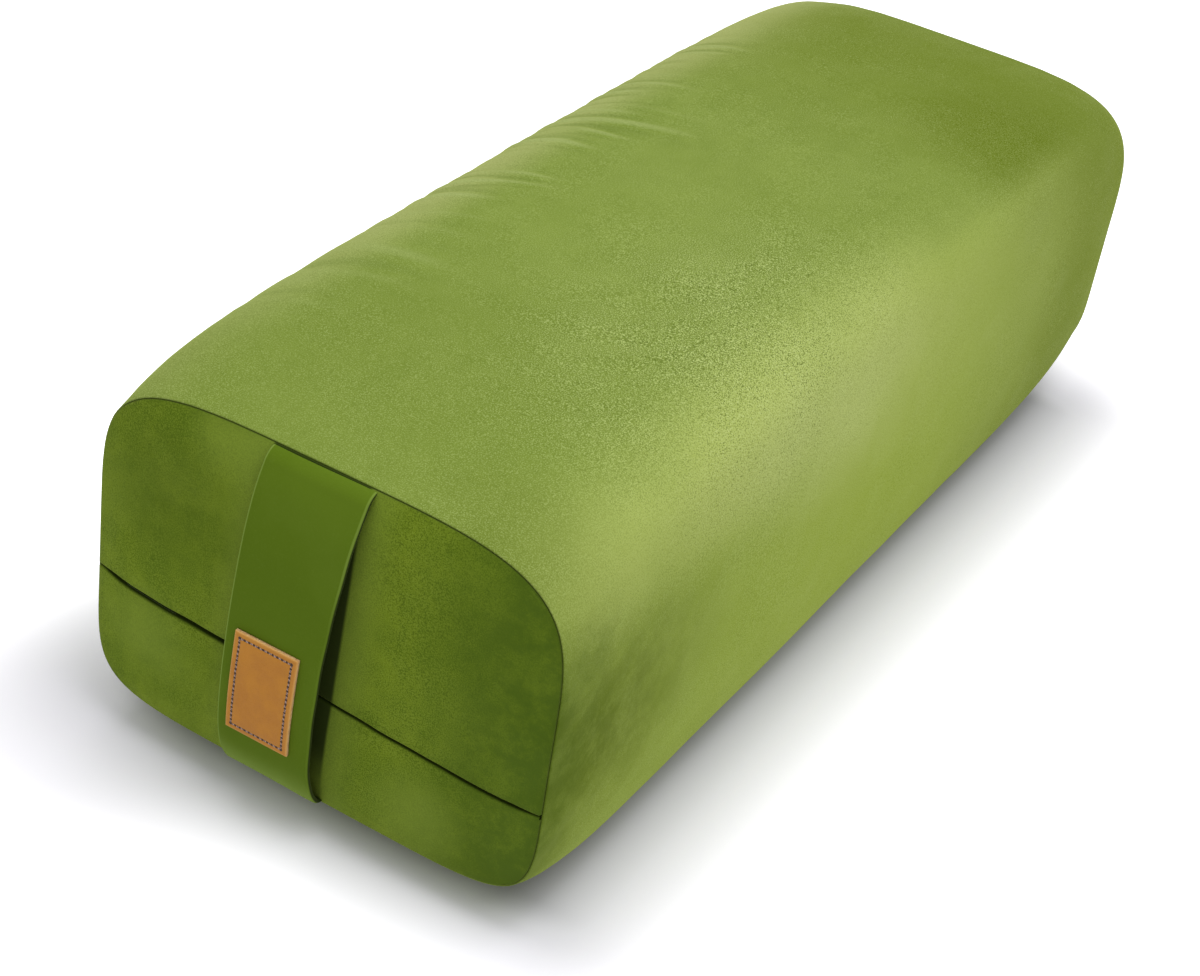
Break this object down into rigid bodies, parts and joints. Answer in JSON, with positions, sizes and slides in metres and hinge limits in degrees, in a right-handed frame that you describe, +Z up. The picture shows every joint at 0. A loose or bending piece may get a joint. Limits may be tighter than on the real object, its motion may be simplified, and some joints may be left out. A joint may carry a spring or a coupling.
{
  "type": "yoga bolster",
  "caption": "Rectangular stuffed yoga bolster with a velvet cover, a carrying strap with a leather label across one end, a concealed zip and a hull-filled cotton liner.",
  "frame": {"origin": "middle of the flat resting face, on the floor", "axes": "+Z up, Y along the bolster with the handle end facing -Y, X across it"},
  "size_m": [0.25, 0.6727, 0.2144],
  "materials": {
    "velvet": "olive green velvet with a soft nap",
    "strap_cloth": "smooth dark olive cloth, folded double",
    "leather": "tan, smooth, semi-matt",
    "zip_tape": "woven dark green tape",
    "zip_coil": "nylon coil",
    "enamelled_metal": "green enamel",
    "stop_metal": "plain crimped metal",
    "cotton": "undyed cotton",
    "hulls": "dry brown seed hulls"
  },
  "bodies": {
    "cover": {"cover_wrap": "velvet", "near_end_upper_panel": "velvet", "near_end_lower_panel": "velvet", "far_end_panel": "velvet", "zip_tape_upper": "zip_tape", "zip_tape_lower": "zip_tape", "zip_coil_upper": "zip_coil", "zip_coil_lower": "zip_coil", "zip_stop_left": "stop_metal", "zip_stop_right": "stop_metal", "liner_wrap": "cotton", "liner_near_upper_end": "cotton", "liner_near_lower_end": "cotton", "liner_far_end": "cotton", "liner_zip_tape_upper": "zip_tape", "liner_zip_tape_lower": "zip_tape", "liner_zip_coil_upper": "zip_coil", "liner_zip_coil_lower": "zip_coil", "liner_zip_stop_left": "stop_metal", "liner_zip_stop_right": "stop_metal", "hull_filling": "hulls"},
    "handle": {"handle_strap": "strap_cloth", "leather_label": "leather"},
    "zip_slider": {"zip_slider": "enamelled_metal"},
    "zip_pull": {"zip_pull_tab": "enamelled_metal"},
    "liner_zip_slider": {"liner_zip_slider": "enamelled_metal"},
    "liner_zip_pull": {"liner_zip_pull_tab": "enamelled_metal"}
  },
  "joints": [
    {"name": "handle_pull", "type": "slide", "parent": "cover", "child": "handle", "axis": [0, -1, 0], "range_m": [0, 0.015], "stiffness_N_per_m": 200, "deforming": ["handle_strap"]},
    {"name": "zip_slide", "type": "slide", "parent": "cover", "child": "zip_slider", "axis": [0.9984, 0, -0.0558], "range_m": [-0.0825, 0.1035]},
    {"name": "zip_pull_swing", "type": "hinge", "parent": "zip_slider", "child": "zip_pull", "pos_m": [-0.01048, -0.33, 0.08489], "axis": [0.0558, 0, 0.9984], "range_deg": [0, 180]},
    {"name": "liner_zip_slide", "type": "slide", "parent": "cover", "child": "liner_zip_slider", "axis": [1, 0, 0], "range_m": [0, 0.156]},
    {"name": "liner_zip_pull_swing", "type": "hinge", "parent": "liner_zip_slider", "child": "liner_zip_pull", "pos_m": [-0.078, -0.317, 0.15], "axis": [0, 0, 1], "range_deg": [0, 30]}
  ]
}
